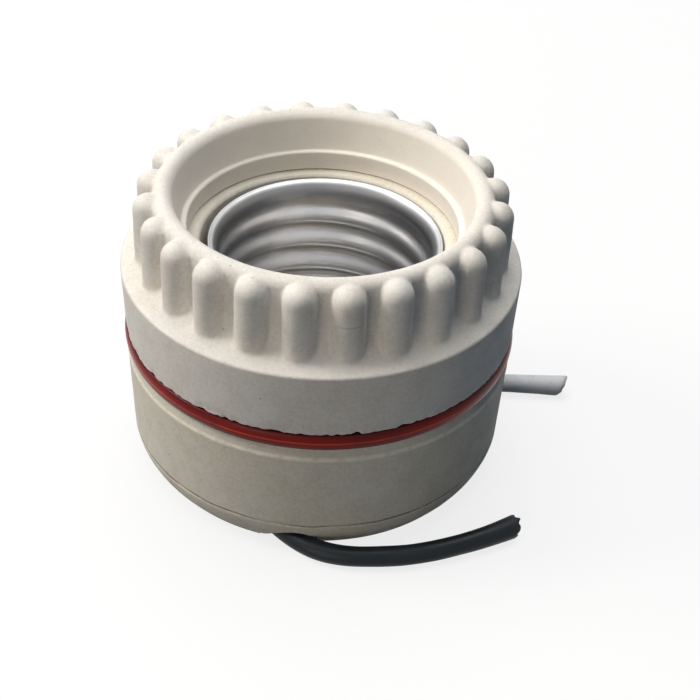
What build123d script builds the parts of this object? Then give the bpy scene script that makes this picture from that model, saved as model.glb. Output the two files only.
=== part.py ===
from build123d import *
from math import atan2, cos, degrees, hypot, pi, radians, sin, tan
import os

os.makedirs("parts", exist_ok=True)

# Two-piece porcelain lamp holder for signs, medium screw base.
# Millimetres. The underside stands on Z = 0, the lamp goes in from +Z,
# and the neck's axis is the Z axis.

# Screw shell, rolled from sheet, medium screw thread
shell_mean_r = 12.9  # inside, halfway between crest and root
shell_swing = 0.4
shell_pitch = 3.629
shell_wall = 0.4
shell_x = 0.35  # the shell stands this far off the neck's axis
shell_plain = 1.6  # plain band above the bottom flange
shell_flange_width = 4.7
shell_flare_reach = 0.9  # the flared rim stands this far out of the plain band
shell_flare_height = 1.9
shell_rim_drop = 0.05  # under the neck's end face

# Porcelain body, radii counted outwards from the shell
shell_play = 0.15  # between the flared rim and the pocket
neck_wall = 2.4  # from the pocket to the middle of the neck's thread
shoulder_width = 6.75  # from there to the top of the outer wall
wall_draft = 0.45  # the wall comes in by this much down to the crease
foot_inset = 2.1  # from the crease in to the edge of the underside
foot_width = 2.7  # what is left of the underside round the recess
foot_bulge = 0.35  # how far the foot's arc stands out of its chord
lip_draft = 0.35

# Porcelain body, heights
recess_depth = 4.2  # wiring recess in the underside
floor_thickness = 4.4
crease_z = 4.4  # where the rounded foot meets the wall
shoulder_z = 16.7  # face that the sign's sheet metal lies on
lip_height = 1.5
neck_height = 12.9
pocket_chamfer = 0.3
groove_width = 3.7  # lead grooves through the foot
groove_height = 2.9
groove_back = 6.2  # from its point on the route back into the recess
groove_reach = 12.5  # and on through the foot

# Coarse moulded thread of neck and ring, right-hand
thread_pitch = 4.0
thread_swing = 0.5  # half the thread's depth
thread_gap = 0.4  # radial play between neck and ring
relief_height = 3.0  # plain neck between shoulder and thread
relief_depth = 0.15  # under the thread's root
neck_chamfer = 0.7
sections_per_turn = 8

# Gasket
gasket_overhang = 0.25  # over the top of the body's wall
gasket_play = 0.3
gasket_thickness = 2.1
gasket_bulge = 0.5

# Clamp ring
flange_overhang = 0.1  # over the gasket
flange_draft = 0.3
flange_height = 8.5
flange_round = 0.4
ledge_rise = 0.9
hub_wall = 2.6  # outside the bore's root
hub_draft = 0.35
hub_fillet = 1.5
throat_overlap = 1.0  # of the throat over the neck's end, from the thread's middle
throat_height = 2.3
throat_gap = 0.3  # over the neck's end face
mouth_height = 4.65  # from the throat's step to the rim
rim_thickness = 2.6
step_width = 0.6
step_round = 0.3
ring_chamfer = 0.8
chamfer_play = 0.2  # the bore's chamfer starts this far outside its root
rib_count = 24
rib_r = 1.95
rib_inset = 0.1  # of the ribs' centres inside the hub's foot
rib_drop = 0.05  # rib tops below the rim
rib_start = 8.8

# Rivets, lugs and wire ends
rivet_r = 1.1
rivet_head_r = 1.9
rivet_head_height = 0.7
rivet_head_round = 0.4
rivet_play = 0.1
neutral_rivet_angle = 120.0
plate_thickness = 0.5  # lugs and washer
lug_ring_r = 2.3
lug_barrel_r = 1.0
lug_barrel_length = 2.6
lug_neck = 0.4  # between the lug's ring and its barrel
lug_clearance = 0.15  # over the lead's top
lug_tab_width = 1.7
wire_r = 0.6

# Centre contact, a folded strip
strip_width = 5.0
strip_thickness = 0.5
contact_rise = 3.7
contact_top_x = -1.7  # top of the blade, from the shell's axis
contact_toe_x = -3.8
contact_toe_rise = 2.2
contact_foot_reach = 2.3
contact_play = 1.7  # from the foot's end to the hole in the shell's bottom
contact_bend_r = 0.9

# Sealing compound over the terminals
compound_r = 13.2
compound_floor_z = 0.6

# Leads: routes by hand, from the lug outwards to the cut end
lead_r = 1.25
black_route = [
    (-1.69, 1.77, 2.80),
    (-7.00, 3.19, 2.80),
    (-12.15, 1.16, 2.60),
    (-15.09, -3.54, 2.20),
    (-14.65, -9.06, 1.85),
    (-7.00, -16.60, 1.35),
    (-2.35, -22.30, 1.30),
    (2.50, -25.00, 1.30),
    (9.30, -24.80, 1.30),
    (13.90, -23.85, 1.30),
    (20.90, -21.10, 1.30),
    (24.90, -18.65, 1.30),
]
white_route = [
    (1.70, 9.00, 2.80),
    (9.50, 9.10, 2.80),
    (17.30, 9.25, 1.40),
    (25.50, 9.05, 1.30),
    (34.00, 8.95, 1.30),
]

# Radii that follow
shell_outer_r = shell_mean_r + shell_wall
shell_hole_r = shell_mean_r - shell_flange_width
shell_rivet_circle_r = shell_mean_r - shell_flange_width / 2
contact_rivet_x = shell_hole_r - contact_foot_reach - contact_play  # from the shell's axis
shell_flare_r = shell_outer_r + shell_flare_reach
pocket_r = shell_x + shell_flare_r + shell_play
neck_mean_r = pocket_r + neck_wall
crest_r = neck_mean_r + thread_swing
relief_r = neck_mean_r - thread_swing - relief_depth
wall_top_r = neck_mean_r + shoulder_width
lip_r = wall_top_r - lip_draft
crease_r = wall_top_r - wall_draft
base_r = crease_r - foot_inset
recess_r = base_r - foot_width
gasket_outer_r = wall_top_r + gasket_overhang
flange_top_r = gasket_outer_r + flange_overhang
flange_bottom_r = flange_top_r - flange_draft
bore_root_r = crest_r + thread_gap
hub_bottom_r = bore_root_r + hub_wall
hub_top_r = hub_bottom_r - hub_draft
rib_circle_r = hub_bottom_r - rib_inset
throat_r = neck_mean_r - throat_overlap

# Heights that follow
floor_under_z = recess_depth
floor_top_z = floor_under_z + floor_thickness
neck_top_z = shoulder_z + neck_height
flange_z = shoulder_z + gasket_thickness
ledge_z = flange_z + flange_height
throat_z = neck_top_z + throat_gap
throat_top_z = throat_z + throat_height
ring_top_z = throat_top_z + mouth_height
shell_bottom_z = floor_top_z
shell_top_z = neck_top_z - shell_rim_drop
shell_flange_z = shell_bottom_z + shell_wall


def helix_planes(low, high, swing, pitch, axis_x=0.0, run_out=0.0):
    """Level planes up a thread, whose origins travel round its axis once a pitch.

    Over run_out at each end they swing out from the axis and back to it.
    """
    count = max(2, round((high - low) / pitch * sections_per_turn))
    planes = []
    for i in range(count + 1):
        z = low + (high - low) * i / count
        turn = 2 * pi * z / pitch
        reach = swing
        if run_out > 0:
            reach = swing * min(1.0, (z - low) / run_out, (high - z) / run_out)
        planes.append(Plane(origin=(axis_x + reach * cos(turn), reach * sin(turn), z)))
    return planes


def polar(radius, angle, x=0.0, y=0.0):
    """A point at a radius and an angle in degrees from a centre."""
    return (x + radius * cos(radians(angle)), y + radius * sin(radians(angle)))


def corner_radii(points):
    """One radius for each corner: 0.45 of the shorter run over tan(half turn)."""
    runs = [Vector(*b) - Vector(*a) for a, b in zip(points, points[1:])]
    radii = []
    for before, after in zip(runs, runs[1:]):
        half_turn = radians(before.get_angle(after)) / 2
        radii.append(0.45 * min(before.length, after.length) / tan(half_turn))
    return radii


def tube(points, radius):
    """A round tube along straight runs joined by tangent arcs."""
    with BuildPart() as made:
        with BuildLine() as path:
            FilletPolyline(*points, radius=corner_radii(points))
        with BuildSketch(path.line ^ 0):
            Circle(radius)
        sweep(path=path.line)
    return made.part


def groove_plane(inside, outside):
    """The upright plane across the run of a route that passes the foot."""
    (x0, y0, _), (x1, y1, _) = inside, outside
    length = hypot(x1 - x0, y1 - y0)
    dx, dy = (x1 - x0) / length, (y1 - y0) / length
    start = (x0 - groove_back * dx, y0 - groove_back * dy, 0)
    return Plane(origin=start, x_dir=(-dy, dx, 0), z_dir=(dx, dy, 0))


# Places of the rivets
neutral_rivet = polar(shell_rivet_circle_r, neutral_rivet_angle, shell_x)
shell_rivet_spot = polar(shell_rivet_circle_r, neutral_rivet_angle + 180, shell_x)
contact_rivet_spot = (shell_x + contact_rivet_x, 0.0)
rivet_spots = [neutral_rivet, shell_rivet_spot, contact_rivet_spot]

# Body: foot, wall and shoulder turned, thread lofted up the neck, pocket and recess cut
with BuildPart() as body:
    with BuildSketch(Plane.XZ):
        with BuildLine():
            wall_top = (wall_top_r, shoulder_z - lip_height)
            foot_mid = ((base_r + crease_r) / 2 + foot_bulge, crease_z / 2 - foot_bulge / 2)
            neck_root = (relief_r, shoulder_z)
            thread_start_z = shoulder_z + relief_height
            Line((0, 0), (base_r, 0))
            ThreePointArc((base_r, 0), foot_mid, (crease_r, crease_z))
            Polyline((crease_r, crease_z), wall_top, (lip_r, shoulder_z), neck_root)
            Polyline(neck_root, (relief_r, thread_start_z), (0, thread_start_z), (0, 0))
        make_face()
    revolve(axis=Axis.Z)
    for level in helix_planes(thread_start_z, neck_top_z, thread_swing, thread_pitch):
        with BuildSketch(level):
            Circle(neck_mean_r)
    loft()
    # lead-in chamfers at both ends of the thread
    with BuildSketch(Plane.XZ):
        far_r = crest_r + neck_chamfer
        with BuildLine():
            Polyline(
                (crest_r - neck_chamfer, neck_top_z),
                (far_r, neck_top_z - 2 * neck_chamfer),
                (far_r, neck_top_z),
                close=True,
            )
        make_face()
    revolve(axis=Axis.Z, mode=Mode.SUBTRACT)
    with BuildSketch(Plane.XY.offset(floor_top_z)):
        Circle(pocket_r)
    extrude(amount=neck_top_z - floor_top_z, mode=Mode.SUBTRACT)
    mouth = body.edges().filter_by(GeomType.CIRCLE).filter_by(
        lambda e: abs(e.radius - pocket_r) < 0.01 and abs(e.center().Z - neck_top_z) < 0.01
    )
    chamfer(mouth, pocket_chamfer)
    with BuildSketch(Plane.XY):
        Circle(recess_r)
    extrude(amount=floor_under_z, mode=Mode.SUBTRACT)
    with BuildSketch(Plane.XY.offset(floor_under_z)):
        with Locations(*rivet_spots):
            Circle(rivet_r + rivet_play)
    extrude(amount=floor_top_z - floor_under_z, mode=Mode.SUBTRACT)
    for inside, outside in (black_route[5:7], white_route[2:4]):
        arch_z = groove_height - groove_width / 2
        with BuildSketch(groove_plane(inside, outside)):
            Rectangle(groove_width, 2 * arch_z)
            with Locations((0, arch_z)):
                Circle(groove_width / 2)
        extrude(amount=groove_back + groove_reach, mode=Mode.SUBTRACT)
body.part.label = "body"

# Gasket: flat washer with a bulged outer edge
with BuildPart() as gasket:
    with BuildSketch(Plane.XZ):
        with BuildLine():
            inner_r = crest_r + gasket_play
            edge_r = gasket_outer_r - gasket_bulge
            top_z = shoulder_z + gasket_thickness
            mid_z = shoulder_z + gasket_thickness / 2
            Polyline((edge_r, top_z), (inner_r, top_z), (inner_r, shoulder_z), (edge_r, shoulder_z))
            ThreePointArc((edge_r, shoulder_z), (gasket_outer_r, mid_z), (edge_r, top_z))
        make_face()
    revolve(axis=Axis.Z)
gasket.part.label = "gasket"

# Clamp ring: turned flange, hub and rounded rim, ribs round the hub, threaded bore
with BuildPart() as clamp_ring:
    rim_r = rim_thickness / 2
    rim_mid_r = hub_top_r - rim_r
    rim_z = ring_top_z - rim_r
    with BuildSketch(Plane.XZ):
        with BuildLine():
            wall_foot = (flange_bottom_r, flange_z)
            wall_head = (flange_top_r, ledge_z)
            hub_foot = (hub_bottom_r, ledge_z + ledge_rise)
            rim_out = (hub_top_r, rim_z)
            rim_in = (hub_top_r - rim_thickness, rim_z)
            step_out = (throat_r + step_width, throat_top_z)
            step_in = (throat_r, throat_top_z - step_round)
            Polyline((throat_r, flange_z), wall_foot, wall_head, hub_foot, rim_out)
            ThreePointArc(rim_out, (rim_mid_r, ring_top_z), rim_in)
            Polyline(rim_in, step_out, (throat_r + step_round, throat_top_z), step_in, (throat_r, flange_z))
        make_face()
    revolve(axis=Axis.Z)
    flange_edge = clamp_ring.edges().filter_by(GeomType.CIRCLE).filter_by(
        lambda e: abs(e.radius - flange_top_r) < 0.01 and abs(e.center().Z - ledge_z) < 0.01
    )
    fillet(flange_edge, flange_round)
    hub_edge = clamp_ring.edges().filter_by(GeomType.CIRCLE).filter_by(
        lambda e: abs(e.radius - hub_bottom_r) < 0.01 and e.center().Z > ledge_z
    )
    fillet(hub_edge, hub_fillet)
    dome_z = ring_top_z - rib_drop - rib_r
    with PolarLocations(rib_circle_r, rib_count, start_angle=rib_start):
        with Locations((0, 0, ledge_z)):
            Cylinder(rib_r, dome_z - ledge_z, align=(Align.CENTER, Align.CENTER, Align.MIN))
        with Locations((0, 0, dome_z)):
            Sphere(rib_r)
    # throat above the neck's end, then the threaded bore under it
    for level in helix_planes(flange_z, throat_z, thread_swing, thread_pitch):
        with BuildSketch(level):
            Circle(neck_mean_r + thread_gap)
    loft(mode=Mode.SUBTRACT)
    with BuildSketch(Plane.XZ):
        chamfer_r = bore_root_r + chamfer_play
        with BuildLine():
            Polyline(
                (throat_r, flange_z),
                (chamfer_r, flange_z),
                (chamfer_r - ring_chamfer, flange_z + ring_chamfer),
                (throat_r, flange_z + ring_chamfer),
                close=True,
            )
        make_face()
    revolve(axis=Axis.Z, mode=Mode.SUBTRACT)
clamp_ring.part.label = "clamp_ring"


# Screw shell: thread lofted outside and inside, flared rim, bottom flange with rivet holes
with BuildPart() as screw_shell:
    plain_top_z = shell_flange_z + shell_plain
    flare_z = shell_top_z - shell_flare_height
    thread_levels = helix_planes(
        plain_top_z, flare_z, shell_swing, shell_pitch, axis_x=shell_x, run_out=shell_pitch / 2
    )
    with BuildSketch(Plane.XZ):
        with BuildLine():
            Polyline(
                (shell_x, shell_bottom_z),
                (shell_x + shell_outer_r, shell_bottom_z),
                (shell_x + shell_outer_r, plain_top_z),
                (shell_x, plain_top_z),
                close=True,
            )
        make_face()
    revolve(axis=Axis((shell_x, 0, 0), (0, 0, 1)))
    for level in thread_levels:
        with BuildSketch(level):
            Circle(shell_outer_r)
    loft()
    with BuildSketch(Plane.XZ):
        with BuildLine():
            Line((shell_x, flare_z), (shell_x + shell_outer_r, flare_z))
            flare_foot = (shell_x + shell_outer_r, flare_z)
            flare_end = (shell_x + shell_flare_r, shell_top_z)
            TangentArc(flare_foot, flare_end, tangent=(0, 1))
            Polyline(flare_end, (shell_x, shell_top_z), (shell_x, flare_z))
        make_face()
    revolve(axis=Axis((shell_x, 0, 0), (0, 0, 1)))
    # inside
    with BuildSketch(Plane.XY.offset(shell_flange_z)):
        with Locations((shell_x, 0)):
            Circle(shell_mean_r)
    extrude(amount=plain_top_z - shell_flange_z, mode=Mode.SUBTRACT)
    for level in thread_levels:
        with BuildSketch(level):
            Circle(shell_mean_r)
    loft(mode=Mode.SUBTRACT)
    with BuildSketch(Plane.XZ):
        with BuildLine():
            Line((shell_x, flare_z), (shell_x + shell_mean_r, flare_z))
            inner_foot = (shell_x + shell_mean_r, flare_z)
            inner_end = (shell_x + shell_flare_r - shell_wall, shell_top_z)
            TangentArc(inner_foot, inner_end, tangent=(0, 1))
            Polyline(inner_end, (shell_x, shell_top_z), (shell_x, flare_z))
        make_face()
    revolve(axis=Axis((shell_x, 0, 0), (0, 0, 1)), mode=Mode.SUBTRACT)
    with BuildSketch(Plane.XY.offset(shell_bottom_z)):
        with Locations((shell_x, 0)):
            Circle(shell_hole_r)
        with Locations(neutral_rivet, shell_rivet_spot):
            Circle(rivet_r + rivet_play)
    extrude(amount=shell_wall, mode=Mode.SUBTRACT)
screw_shell.part.label = "screw_shell"


def rivet(spot, top_z):
    """A rivet through the floor: round head on top, clinched head under its lug or washer."""
    clinch_z = floor_under_z - plate_thickness
    with BuildPart() as made:
        with BuildSketch(Plane.XY.offset(clinch_z)):
            with Locations(spot):
                Circle(rivet_r)
        extrude(amount=top_z - clinch_z)
        with BuildSketch(Plane.XY.offset(top_z)):
            with Locations(spot):
                Circle(rivet_head_r)
        extrude(amount=rivet_head_height)
        with BuildSketch(Plane.XY.offset(clinch_z - rivet_head_height)):
            with Locations(spot):
                Circle(rivet_head_r)
        extrude(amount=rivet_head_height)
        rims = made.edges().filter_by(GeomType.CIRCLE).sort_by(Axis.Z)
        fillet([rims[0], rims[-1]], rivet_head_round)
    return made.part


def lug(spot, angle):
    """A ring lug under the floor, with its crimped barrel towards the angle."""
    ring_z = floor_under_z - plate_thickness
    barrel_z = floor_under_z - lead_r - lug_clearance
    barrel_start = lug_ring_r + lug_neck
    direction = (cos(radians(angle)), sin(radians(angle)), 0)
    side = (-direction[1], direction[0], 0)
    foot = (spot[0] + barrel_start * direction[0], spot[1] + barrel_start * direction[1], barrel_z)
    with BuildPart() as made:
        with BuildSketch(Plane(origin=(spot[0], spot[1], ring_z), x_dir=direction)):
            Circle(lug_ring_r)
            with Locations(((lug_ring_r + barrel_start) / 2, 0)):
                Rectangle(lug_ring_r + barrel_start, lug_tab_width)
        extrude(amount=plate_thickness)
        with BuildSketch(Plane(origin=foot, x_dir=side, z_dir=direction)):
            Circle(lug_barrel_r)
        extrude(amount=lug_barrel_length)
        with BuildSketch(Plane(origin=foot, x_dir=side, z_dir=direction)):
            Circle(wire_r)
        extrude(amount=lug_barrel_length, mode=Mode.SUBTRACT)
        with BuildSketch(Plane.XY.offset(ring_z)):
            with Locations(spot):
                Circle(rivet_r + rivet_play)
        extrude(amount=plate_thickness, mode=Mode.SUBTRACT)
    return made.part


def wire_end(spot, angle, lead_start):
    """The bared wire from the lug's barrel to where the lead's insulation starts."""
    direction = (cos(radians(angle)), sin(radians(angle)), 0)
    start = lug_ring_r + lug_neck
    reach = hypot(lead_start[0] - spot[0], lead_start[1] - spot[1])
    foot = (spot[0] + start * direction[0], spot[1] + start * direction[1], lead_start[2])
    with BuildPart() as made:
        with BuildSketch(Plane(origin=foot, z_dir=direction)):
            Circle(wire_r)
        extrude(amount=reach - start)
    return made.part


def angle_to(spot, point):
    """The direction in degrees from a rivet to the start of its lead."""
    return degrees(atan2(point[1] - spot[1], point[0] - spot[0]))


line_angle = angle_to(contact_rivet_spot, black_route[0])
neutral_angle = angle_to(neutral_rivet, white_route[0])

shell_rivet_neutral = rivet(neutral_rivet, shell_flange_z)
shell_rivet_neutral.label = "shell_rivet_neutral"
shell_rivet_plain = rivet(shell_rivet_spot, shell_flange_z)
shell_rivet_plain.label = "shell_rivet_plain"
contact_rivet = rivet(contact_rivet_spot, floor_top_z + strip_thickness)
contact_rivet.label = "contact_rivet"
neutral_lug = lug(neutral_rivet, neutral_angle)
neutral_lug.label = "neutral_lug"
line_lug = lug(contact_rivet_spot, line_angle)
line_lug.label = "line_lug"
neutral_wire = wire_end(neutral_rivet, neutral_angle, white_route[0])
neutral_wire.label = "neutral_wire"
line_wire = wire_end(contact_rivet_spot, line_angle, black_route[0])
line_wire.label = "line_wire"

# Washer under the clinched end of the rivet that carries no lug
with BuildPart() as rivet_washer:
    with BuildSketch(Plane.XY.offset(floor_under_z - plate_thickness)):
        with Locations(shell_rivet_spot):
            Circle(lug_ring_r)
            Circle(rivet_r + rivet_play, mode=Mode.SUBTRACT)
    extrude(amount=plate_thickness)
rivet_washer.part.label = "rivet_washer"

# Centre contact: riveted foot, fold, blade rising over the axis and a turned-down toe
with BuildPart() as centre_contact:
    mid_z = floor_top_z + strip_thickness / 2
    foot_x = shell_x + contact_rivet_x
    with BuildLine(Plane.XZ) as strip:
        FilletPolyline(
            (foot_x + contact_foot_reach, mid_z),
            (foot_x - contact_foot_reach, mid_z),
            (shell_x + contact_top_x, mid_z + contact_rise),
            (shell_x + contact_toe_x, mid_z + contact_toe_rise),
            radius=contact_bend_r,
        )
    strip_end = Plane(origin=(foot_x + contact_foot_reach, 0, mid_z), x_dir=(0, 1, 0), z_dir=(-1, 0, 0))
    with BuildSketch(strip_end):
        Rectangle(strip_width, strip_thickness)
    sweep(path=strip.line)
    with BuildSketch(Plane.XY.offset(floor_top_z)):
        with Locations(contact_rivet_spot):
            Circle(rivet_r + rivet_play)
    extrude(amount=strip_thickness, mode=Mode.SUBTRACT)
centre_contact.part.label = "centre_contact"

# Leads
black_lead = tube(black_route, lead_r)
black_lead.label = "black_lead"
white_lead = tube(white_route, lead_r)
white_lead.label = "white_lead"
for name, route in (("black", black_route), ("white", white_route)):
    print(name, "lead radii", [round(r, 1) for r in corner_radii(route)])

# Sealing compound: poured over the terminals, so it takes their shape
with BuildPart() as sealing_compound:
    with BuildSketch(Plane.XY.offset(compound_floor_z)):
        Circle(compound_r)
    extrude(amount=floor_under_z - compound_floor_z)
    with BuildSketch(Plane.XY.offset(floor_under_z - plate_thickness)):
        with Locations(*rivet_spots):
            Circle(rivet_r + rivet_play)
    extrude(amount=plate_thickness, mode=Mode.SUBTRACT)
    for piece in (
        neutral_lug, line_lug, neutral_wire, line_wire, rivet_washer.part, black_lead, white_lead,
        shell_rivet_neutral, shell_rivet_plain, contact_rivet,
    ):
        add(piece, mode=Mode.SUBTRACT)
sealing_compound.part.label = "sealing_compound"

pieces = [
    body.part, gasket.part, clamp_ring.part, screw_shell.part, centre_contact.part,
    shell_rivet_neutral, shell_rivet_plain, contact_rivet, neutral_lug, line_lug,
    neutral_wire, line_wire, rivet_washer.part, sealing_compound.part, black_lead, white_lead,
]
for piece in pieces:
    export_step(piece, f"parts/{piece.label}.step")
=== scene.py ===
import bmesh
import bpy
import math
import numpy as np
from mathutils import Matrix, Vector


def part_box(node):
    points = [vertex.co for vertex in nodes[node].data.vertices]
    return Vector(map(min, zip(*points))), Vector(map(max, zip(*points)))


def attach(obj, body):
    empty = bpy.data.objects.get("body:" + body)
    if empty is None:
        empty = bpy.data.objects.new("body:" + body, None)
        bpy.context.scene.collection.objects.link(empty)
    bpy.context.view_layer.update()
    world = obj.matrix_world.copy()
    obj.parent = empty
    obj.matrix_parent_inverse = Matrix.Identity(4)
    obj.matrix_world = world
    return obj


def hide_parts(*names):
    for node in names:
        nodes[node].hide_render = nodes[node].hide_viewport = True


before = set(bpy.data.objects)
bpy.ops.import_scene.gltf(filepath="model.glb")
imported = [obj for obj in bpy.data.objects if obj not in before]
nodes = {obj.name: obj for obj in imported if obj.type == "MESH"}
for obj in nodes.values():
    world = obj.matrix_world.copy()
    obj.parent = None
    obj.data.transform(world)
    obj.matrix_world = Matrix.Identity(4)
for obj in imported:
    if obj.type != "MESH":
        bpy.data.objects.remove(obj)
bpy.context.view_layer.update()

# Porcelain sign lamp holder. Mesh code works in millimetres, the scene in metres.
mm = 0.001
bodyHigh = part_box("body")[1] / mm
ringLow, ringHigh = (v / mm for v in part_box("clamp_ring"))
gasketLow, gasketHigh = (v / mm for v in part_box("gasket"))
shellLow, shellHigh = (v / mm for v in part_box("screw_shell"))


# Helpers for meshes
def smoothNoise(points, cell, seed):
    # value noise from -1 to 1, with one random number for each corner of a lattice
    lattice = 32
    table = np.random.RandomState(seed).uniform(-1, 1, (lattice, lattice, lattice))
    p = points / cell
    low = np.floor(p).astype(int)
    t = p - low
    t = t * t * (3 - 2 * t)
    total = np.zeros(p.shape[:-1])
    for corner in range(8):
        step = np.array([corner & 1, corner >> 1 & 1, corner >> 2 & 1])
        share = np.prod(np.where(step == 1, t, 1 - t), axis=-1)
        i = (low + step) % lattice
        total += share * table[i[..., 0], i[..., 1], i[..., 2]]
    return total


def ringPoints(rows, angles, axisX=0.0):
    # rows of (radius, height), each one number or one for every column, as points
    points = np.zeros((len(rows), len(angles), 3))
    for k, (radius, height) in enumerate(rows):
        points[k, :, 0] = axisX + radius * np.cos(angles)
        points[k, :, 1] = radius * np.sin(angles)
        points[k, :, 2] = height
    return points


def outwardNormals(points, closed):
    # the grid's normals, turned so that those of its widest row point away from the axis
    around = np.roll(points, -1, axis=1) - np.roll(points, 1, axis=1)
    if closed:
        along = np.roll(points, -1, axis=0) - np.roll(points, 1, axis=0)
    else:
        along = np.gradient(points, axis=0)
    normal = np.cross(around, along)
    normal /= np.maximum(np.linalg.norm(normal, axis=-1, keepdims=True), 1e-9)
    widest = int(np.argmax(np.hypot(points[:, 0, 0], points[:, 0, 1])))
    return normal * np.sign((normal[widest] * points[widest] * (1, 1, 0)).sum())


def firedShift(points, layers, sunk):
    # how far a kiln-fired surface stands out of true; a layer is a depth, a cell and a seed
    return sum(depth * smoothNoise(points, cell, seed) for depth, cell, seed in layers) - sunk


def meshPiece(name, made):
    # a smooth piece from faces made in bmesh
    bmesh.ops.recalc_face_normals(made, faces=made.faces)
    mesh = bpy.data.meshes.new(name)
    made.to_mesh(mesh)
    made.free()
    mesh.shade_smooth()
    piece = bpy.data.objects.new(name, mesh)
    bpy.context.scene.collection.objects.link(piece)
    return piece


def gridMesh(name, points, closed=True):
    # a mesh from rows of points that close round the columns, and round the rows or with two caps
    rowCount, columnCount, _ = points.shape
    r = np.arange(rowCount if closed else rowCount - 1)
    c = np.arange(columnCount)
    rr, cc = np.meshgrid(r, c, indexing="ij")
    nextRow, nextColumn = (rr + 1) % rowCount, (cc + 1) % columnCount
    quads = np.stack([
        rr * columnCount + cc,
        rr * columnCount + nextColumn,
        nextRow * columnCount + nextColumn,
        nextRow * columnCount + cc,
    ], axis=-1).reshape(-1, 4)
    faces = [tuple(q) for q in quads.tolist()]
    verts = points.reshape(-1, 3).tolist()
    capped = () if closed else (0, rowCount - 1)
    for row in capped:
        centre = len(verts)
        verts.append(points[row].mean(axis=0).tolist())
        first = row * columnCount
        faces += [(first + k, first + (k + 1) % columnCount, centre) for k in range(columnCount)]
    draft = bpy.data.meshes.new("draft")
    draft.from_pydata([[v * mm for v in p] for p in verts], [], faces)
    made = bmesh.new()
    made.from_mesh(draft)
    bpy.data.meshes.remove(draft)
    return meshPiece(name, made)


def between(a, b, count, last=False):
    # evenly spaced steps from a to b, without b unless asked
    steps = np.linspace(0, 1, count + 1 if last else count, endpoint=last)
    return [a + (b - a) * s for s in steps]


def line(start, end, count, last=False):
    return list(zip(between(start[0], end[0], count, last), between(start[1], end[1], count, last)))


def arc(centre, radius, fromDeg, toDeg, count, last=False):
    turns = [math.radians(a) for a in between(fromDeg, toDeg, count, last)]
    return [(centre[0] + radius * math.cos(t), centre[1] + radius * math.sin(t)) for t in turns]


def arcThrough(start, middle, end, count):
    # an arc from start to just before end, by way of a middle point
    (ax, ay), (bx, by), (cx, cy) = start, middle, end
    spread = 2 * (ax * (by - cy) + bx * (cy - ay) + cx * (ay - by))
    a2, b2, c2 = ax * ax + ay * ay, bx * bx + by * by, cx * cx + cy * cy
    x = (a2 * (by - cy) + b2 * (cy - ay) + c2 * (ay - by)) / spread
    y = (a2 * (cx - bx) + b2 * (ax - cx) + c2 * (bx - ax)) / spread
    fromDeg = math.degrees(math.atan2(ay - y, ax - x))
    toDeg = math.degrees(math.atan2(cy - y, cx - x))
    return arc((x, y), math.hypot(ax - x, ay - y), fromDeg, toDeg, count)


def threadRadius(angles, height, meanR, swing, pitch):
    # a circle whose centre travels round the axis once a pitch
    turn = angles - 2 * math.pi * height / pitch
    return swing * np.cos(turn) + np.sqrt(meanR ** 2 - (swing * np.sin(turn)) ** 2)


def cutAway(piece, cutters):
    # the cutters' shapes taken out of the piece
    for cutter in cutters:
        change = piece.modifiers.new("cut", "BOOLEAN")
        change.operation = "DIFFERENCE"
        change.solver = "EXACT"
        change.object = cutter
    graph = bpy.context.evaluated_depsgraph_get()
    cut = bpy.data.meshes.new_from_object(piece.evaluated_get(graph))
    piece.modifiers.clear()
    piece.data = cut
    for cutter in cutters:
        bpy.data.objects.remove(cutter)
    piece.data.shade_smooth()


# Helpers for materials, with the places of the Mix node's colour sockets
mixFirst, mixSecond, mixResult = 6, 7, 2


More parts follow.
